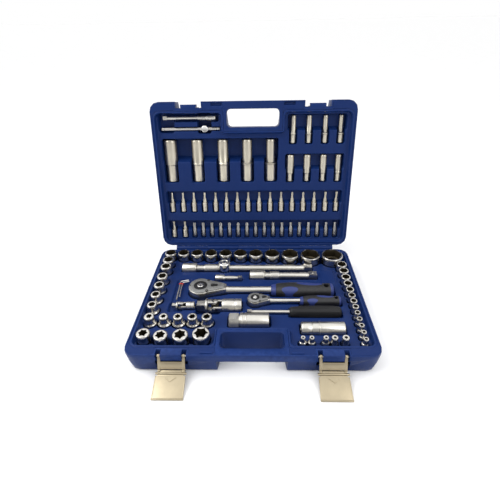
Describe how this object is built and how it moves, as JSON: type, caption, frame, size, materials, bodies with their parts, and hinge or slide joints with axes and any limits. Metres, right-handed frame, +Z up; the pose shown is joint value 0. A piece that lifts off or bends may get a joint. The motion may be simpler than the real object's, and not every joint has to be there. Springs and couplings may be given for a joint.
{
  "type": "socket wrench set in case",
  "caption": "Socket wrench set in an open hinged plastic case with draw latches: ratchets, sockets, bars, joints and bits in moulded trays.",
  "frame": {"origin": "centre of the base half's underside, on the surface it stands on", "axes": "+X to the right along the hinge, +Y from the latches to the hinge, +Z up"},
  "size_m": [0.375, 0.4179, 0.3152],
  "materials": {
    "base_plastic": "fine-grained moulded plastic, medium blue",
    "lid_plastic": "fine-grained moulded plastic, medium blue",
    "latch_nickel": "polished nickel plate, warm",
    "grey_plate": "matt grey cover plate",
    "soft_grip": "soft black grip with blue inlay",
    "black_plastic": "matt black plastic",
    "red_plastic": "glossy red plastic",
    "pin_steel": "bright steel",
    "tool_chrome": "satin chrome plate"
  },
  "bodies": {
    "base": {"base_shell": "base_plastic", "base_tray": "base_plastic", "hinge_pin": "pin_steel", "left_latch_base_pin": "latch_nickel", "right_latch_base_pin": "latch_nickel"},
    "lid": {"lid_shell": "lid_plastic", "lid_tray": "lid_plastic"},
    "left_link": {"left_latch_link": "latch_nickel", "left_latch_knuckle_pin": "latch_nickel"},
    "left_lever": {"left_latch_lever": "latch_nickel"},
    "right_link": {"right_latch_link": "latch_nickel", "right_latch_knuckle_pin": "latch_nickel"},
    "right_lever": {"right_latch_lever": "latch_nickel"},
    "half_ratchet": {"half_ratchet_body": "tool_chrome", "half_ratchet_cover": "grey_plate", "half_ratchet_grip": "soft_grip"},
    "half_drive": {"half_ratchet_drive": "tool_chrome"},
    "half_button": {"half_ratchet_button": "tool_chrome"},
    "half_selector": {"half_ratchet_lever": "black_plastic"},
    "half_joint": {"half_joint_female_yoke": "tool_chrome"},
    "half_joint_cross": {"half_joint_cross": "tool_chrome"},
    "half_joint_male": {"half_joint_male_yoke": "tool_chrome"},
    "quarter_ratchet": {"quarter_ratchet_body": "tool_chrome", "quarter_ratchet_cover": "grey_plate", "quarter_ratchet_grip": "soft_grip"},
    "quarter_drive": {"quarter_ratchet_drive": "tool_chrome"},
    "quarter_button": {"quarter_ratchet_button": "tool_chrome"},
    "quarter_selector": {"quarter_ratchet_lever": "black_plastic"},
    "quarter_joint": {"quarter_joint_female_yoke": "tool_chrome"},
    "quarter_joint_cross": {"quarter_joint_cross": "tool_chrome"},
    "quarter_joint_male": {"quarter_joint_male_yoke": "tool_chrome"},
    "spinner": {"spinner_shaft": "tool_chrome", "spinner_grip": "black_plastic"},
    "long_bar": {"extension_bar_250": "tool_chrome"},
    "adapter": {"t_adapter": "tool_chrome"},
    "middle_bar": {"extension_bar_125": "tool_chrome"},
    "short_bar": {"extension_bar_50": "tool_chrome"},
    "lid_bar": {"extension_bar_100": "tool_chrome"},
    "t_bar": {"t_bar": "tool_chrome"},
    "t_slider": {"t_slider": "tool_chrome"},
    "spark_21": {"spark_plug_socket_21": "tool_chrome"},
    "spark_16": {"spark_plug_socket_16": "tool_chrome"},
    "hex_keys": {"hex_key_large": "tool_chrome", "hex_key_small": "tool_chrome", "hex_key_clip": "red_plastic"},
    "deep_17": {"deep_half_socket_17": "tool_chrome"},
    "deep_15": {"deep_half_socket_15": "tool_chrome"},
    "deep_14": {"deep_half_socket_14": "tool_chrome"},
    "deep_13": {"deep_half_socket_13": "tool_chrome"},
    "deep_12": {"deep_half_socket_12": "tool_chrome"},
    "back_row": {"half_socket_back_row": "tool_chrome"},
    "left_column": {"half_socket_left_column": "tool_chrome"},
    "star_upper": {"star_socket_upper_row": "tool_chrome"},
    "star_lower": {"star_socket_lower_row": "tool_chrome"},
    "right_column": {"quarter_socket_column": "tool_chrome"},
    "small_star": {"small_star_socket_row": "tool_chrome"},
    "deep_quarter_upper": {"deep_quarter_upper_row": "tool_chrome"},
    "deep_quarter_lower": {"deep_quarter_lower_row": "tool_chrome"},
    "bit_sockets": {"bit_socket_row": "tool_chrome"},
    "bits": {"bit_row": "tool_chrome"}
  },
  "joints": [
    {"name": "lid_hinge", "type": "hinge", "parent": "base", "child": "lid", "pos_m": [0, 0.144, 0.0384], "axis": [-1, 0, 0], "range_deg": [-101, 0]},
    {"name": "left_latch_link_hinge", "type": "hinge", "parent": "base", "child": "left_link", "pos_m": [-0.117, -0.134, 0.033], "axis": [1, 0, 0], "range_deg": [-147, 0]},
    {"name": "left_latch_lever_hinge", "type": "hinge", "parent": "left_link", "child": "left_lever", "pos_m": [-0.117, -0.14433, 0.01134], "axis": [-1, 0, 0], "range_deg": [-125, 0]},
    {"name": "right_latch_link_hinge", "type": "hinge", "parent": "base", "child": "right_link", "pos_m": [0.117, -0.134, 0.033], "axis": [1, 0, 0], "range_deg": [-147, 0]},
    {"name": "right_latch_lever_hinge", "type": "hinge", "parent": "right_link", "child": "right_lever", "pos_m": [0.117, -0.14433, 0.01134], "axis": [-1, 0, 0], "range_deg": [-125, 0]},
    {"name": "half_ratchet_lift", "type": "slide", "parent": "base", "child": "half_ratchet", "axis": [0, 0, 1], "range_m": [0, 0.06]},
    {"name": "half_drive_spin", "type": "hinge", "parent": "half_ratchet", "child": "half_drive", "pos_m": [-0.0936, 0.015, 0.043], "axis": [0, 0, 1], "continuous": true},
    {"name": "half_release_button", "type": "slide", "parent": "half_drive", "child": "half_button", "axis": [0, 0, 1], "range_m": [-0.0018, 0], "stiffness_N_per_m": 400},
    {"name": "half_direction_lever", "type": "hinge", "parent": "half_ratchet", "child": "half_selector", "pos_m": [-0.07218, 0.015, 0.043], "axis": [0, 0, 1], "range_deg": [-25, 25]},
    {"name": "quarter_ratchet_lift", "type": "slide", "parent": "base", "child": "quarter_ratchet", "axis": [0, 0, 1], "range_m": [0, 0.06]},
    {"name": "quarter_drive_spin", "type": "hinge", "parent": "quarter_ratchet", "child": "quarter_drive", "pos_m": [0.0037, -0.015, 0.0415], "axis": [0, 0, 1], "continuous": true},
    {"name": "quarter_release_button", "type": "slide", "parent": "quarter_drive", "child": "quarter_button", "axis": [0, 0, 1], "range_m": [-0.0011, 0], "stiffness_N_per_m": 400},
    {"name": "quarter_direction_lever", "type": "hinge", "parent": "quarter_ratchet", "child": "quarter_selector", "pos_m": [0.01719, -0.015, 0.0415], "axis": [0, 0, 1], "range_deg": [-25, 25]},
    {"name": "half_joint_lift", "type": "slide", "parent": "base", "child": "half_joint", "axis": [0, 0, 1], "range_m": [0, 0.05]},
    {"name": "half_joint_pitch", "type": "hinge", "parent": "half_joint", "child": "half_joint_cross", "pos_m": [-0.064, -0.0255, 0.031], "axis": [0, 1, 0], "range_deg": [0, 50]},
    {"name": "half_joint_yaw", "type": "hinge", "parent": "half_joint_cross", "child": "half_joint_male", "pos_m": [-0.064, -0.0255, 0.031], "axis": [0, 0, 1], "range_deg": [-14, 14]},
    {"name": "quarter_joint_lift", "type": "slide", "parent": "base", "child": "quarter_joint", "axis": [0, 0, 1], "range_m": [0, 0.05]},
    {"name": "quarter_joint_pitch", "type": "hinge", "parent": "quarter_joint", "child": "quarter_joint_cross", "pos_m": [-0.1195, -0.027, 0.0325], "axis": [0, 1, 0], "range_deg": [0, 50]},
    {"name": "quarter_joint_yaw", "type": "hinge", "parent": "quarter_joint_cross", "child": "quarter_joint_male", "pos_m": [-0.1195, -0.027, 0.0325], "axis": [0, 0, 1], "range_deg": [-14, 14]},
    {"name": "spinner_lift", "type": "slide", "parent": "base", "child": "spinner", "axis": [0, 0, 1], "range_m": [0, 0.05]},
    {"name": "long_bar_lift", "type": "slide", "parent": "base", "child": "long_bar", "axis": [0, 0, 1], "range_m": [0, 0.05]},
    {"name": "adapter_slide", "type": "slide", "parent": "long_bar", "child": "adapter", "axis": [1, 0, 0], "range_m": [-0.001, 0.001]},
    {"name": "middle_bar_lift", "type": "slide", "parent": "base", "child": "middle_bar", "axis": [0, 0, 1], "range_m": [0, 0.05]},
    {"name": "short_bar_lift", "type": "slide", "parent": "base", "child": "short_bar", "axis": [0, 0, 1], "range_m": [0, 0.04]},
    {"name": "spark_21_lift", "type": "slide", "parent": "base", "child": "spark_21", "axis": [0, 0, 1], "range_m": [0, 0.05]},
    {"name": "spark_16_lift", "type": "slide", "parent": "base", "child": "spark_16", "axis": [0, 0, 1], "range_m": [0, 0.05]},
    {"name": "hex_keys_lift", "type": "slide", "parent": "base", "child": "hex_keys", "axis": [0, 0, 1], "range_m": [0, 0.04]},
    {"name": "back_row_lift", "type": "slide", "parent": "base", "child": "back_row", "axis": [0, 0, 1], "range_m": [0, 0.045]},
    {"name": "left_column_lift", "type": "slide", "parent": "base", "child": "left_column", "axis": [0, 0, 1], "range_m": [0, 0.06]},
    {"name": "star_upper_lift", "type": "slide", "parent": "base", "child": "star_upper", "axis": [0, 0, 1], "range_m": [0, 0.06]},
    {"name": "star_lower_lift", "type": "slide", "parent": "base", "child": "star_lower", "axis": [0, 0, 1], "range_m": [0, 0.06]},
    {"name": "right_column_lift", "type": "slide", "parent": "base", "child": "right_column", "axis": [0, 0, 1], "range_m": [0, 0.045]},
    {"name": "small_star_lift", "type": "slide", "parent": "base", "child": "small_star", "axis": [0, 0, 1], "range_m": [0, 0.045]},
    {"name": "lid_bar_lift", "type": "slide", "parent": "lid", "child": "lid_bar", "axis": [0, -0.9816, 0.1908], "range_m": [0, 0.03]},
    {"name": "t_bar_lift", "type": "slide", "parent": "lid", "child": "t_bar", "axis": [0, -0.9816, 0.1908], "range_m": [0, 0.03]},
    {"name": "t_slider_slide", "type": "slide", "parent": "t_bar", "child": "t_slider", "axis": [1, 0, 0], "range_m": [-0.006, 0.006]},
    {"name": "deep_17_lift", "type": "slide", "parent": "lid", "child": "deep_17", "axis": [0, -0.9816, 0.1908], "range_m": [0, 0.04]},
    {"name": "deep_15_lift", "type": "slide", "parent": "lid", "child": "deep_15", "axis": [0, -0.9816, 0.1908], "range_m": [0, 0.04]},
    {"name": "deep_14_lift", "type": "slide", "parent": "lid", "child": "deep_14", "axis": [0, -0.9816, 0.1908], "range_m": [0, 0.04]},
    {"name": "deep_13_lift", "type": "slide", "parent": "lid", "child": "deep_13", "axis": [0, -0.9816, 0.1908], "range_m": [0, 0.04]},
    {"name": "deep_12_lift", "type": "slide", "parent": "lid", "child": "deep_12", "axis": [0, -0.9816, 0.1908], "range_m": [0, 0.04]},
    {"name": "deep_quarter_upper_lift", "type": "slide", "parent": "lid", "child": "deep_quarter_upper", "axis": [0, -0.9816, 0.1908], "range_m": [0, 0.03]},
    {"name": "deep_quarter_lower_lift", "type": "slide", "parent": "lid", "child": "deep_quarter_lower", "axis": [0, -0.9816, 0.1908], "range_m": [0, 0.03]},
    {"name": "bit_sockets_lift", "type": "slide", "parent": "lid", "child": "bit_sockets", "axis": [0, -0.9816, 0.1908], "range_m": [0, 0.025]},
    {"name": "bits_lift", "type": "slide", "parent": "lid", "child": "bits", "axis": [0, -0.9816, 0.1908], "range_m": [0, 0.015]}
  ]
}
